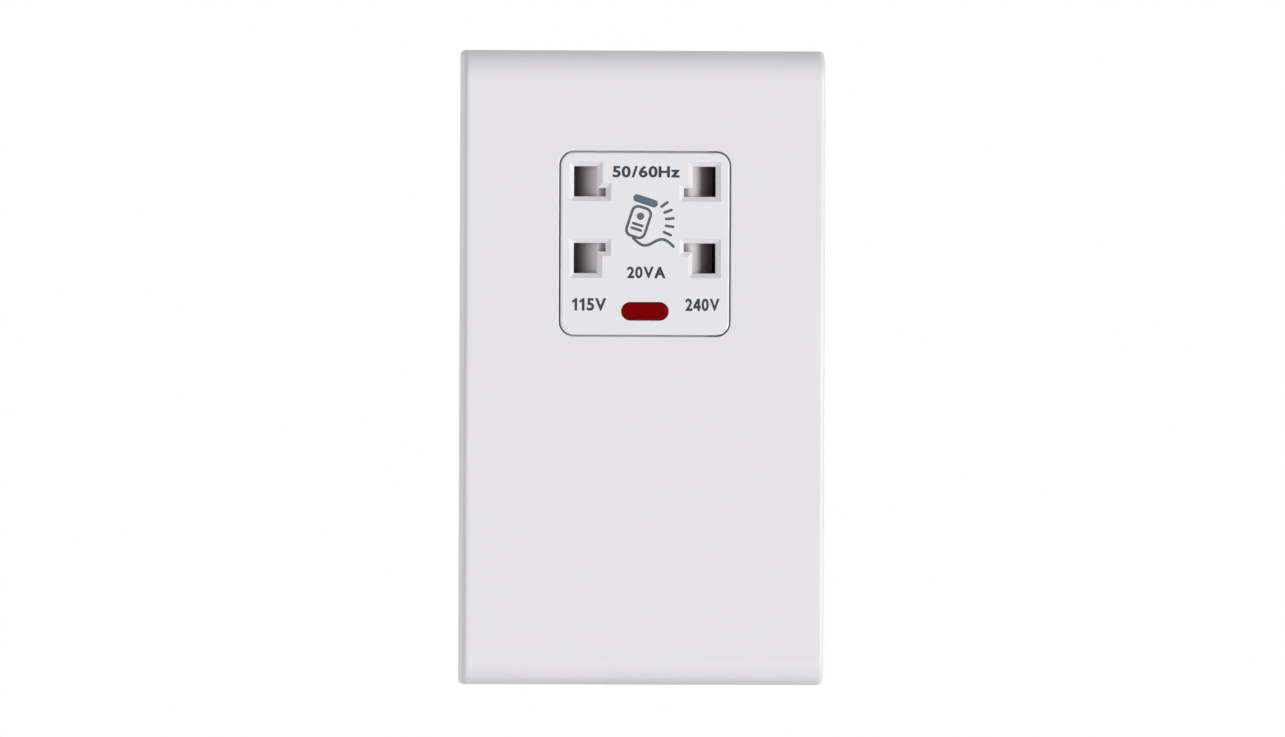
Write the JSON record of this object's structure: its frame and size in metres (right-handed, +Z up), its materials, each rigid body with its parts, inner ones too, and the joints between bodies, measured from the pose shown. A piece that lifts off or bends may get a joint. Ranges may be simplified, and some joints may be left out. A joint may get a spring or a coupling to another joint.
{
  "type": "shaver socket",
  "caption": "Wall-mounted dual-voltage shaver supply socket: rolled-edge cover plate, shuttered pin openings, red indicator lens and an isolating transformer behind the plate.",
  "frame": {"origin": "on the wall plane, midway between the two wall-fixing holes", "axes": "+Z up, +X to the right as seen from the front, the front faces -Y and +Y points into the wall"},
  "size_m": [0.084, 0.0407, 0.146],
  "materials": {
    "plate_white": "satin moulded",
    "face_white": "satin moulded",
    "lens_red": "polished translucent",
    "lamp_glass": "clear",
    "resistor_body": "lacquered",
    "shutter_white": "moulded",
    "spring_steel": "drawn wire",
    "contact_brass": "rolled strip",
    "carrier_dark": "moulded",
    "screw_steel": "zinc plated",
    "chassis_grey": "moulded",
    "core_steel": "varnished laminations",
    "former_plastic": "moulded",
    "winding_copper": "enamelled",
    "tape_amber": "film",
    "cutout_dark": "moulded",
    "block_grey": "moulded",
    "lead_brown": "insulated",
    "lead_blue": "insulated",
    "lead_white": "insulated",
    "lead_red": "insulated",
    "lead_black": "insulated"
  },
  "bodies": {
    "base": {"front_plate": "plate_white", "outlet_face": "face_white", "neon_lens": "lens_red", "neon_lamp": "lamp_glass", "lamp_resistor": "resistor_body", "shutter_spring": "spring_steel", "contact_115_upper": "contact_brass", "contact_115_lower": "contact_brass", "contact_240_upper": "contact_brass", "contact_240_lower": "contact_brass", "common_link": "contact_brass", "contact_carrier": "carrier_dark", "outlet_screws": "screw_steel", "chassis": "chassis_grey", "transformer_core": "core_steel", "coil_former": "former_plastic", "primary_winding": "winding_copper", "secondary_115": "winding_copper", "secondary_240": "winding_copper", "winding_tape": "tape_amber", "core_screws": "screw_steel", "thermal_cutout": "cutout_dark", "terminal_block": "block_grey", "terminal_live": "contact_brass", "terminal_neutral": "contact_brass", "terminal_screws": "screw_steel", "lead_live": "lead_brown", "lead_neutral": "lead_blue", "lead_115": "lead_white", "lead_240": "lead_red", "lead_common": "lead_black"},
    "shutter_left": {"shutter_115": "shutter_white"},
    "shutter_right": {"shutter_240": "shutter_white"}
  },
  "joints": [
    {"name": "shutter_115_slide", "type": "slide", "parent": "base", "child": "shutter_left", "axis": [1, 0, 0], "range_m": [0, 0.007], "stiffness_N_per_m": 120, "springref_m": -0.004, "deforming": ["shutter_spring"]},
    {"name": "shutter_240_slide", "type": "slide", "parent": "base", "child": "shutter_right", "axis": [-1, 0, 0], "range_m": [0, 0.007], "stiffness_N_per_m": 120, "springref_m": -0.004, "deforming": ["shutter_spring"]}
  ]
}
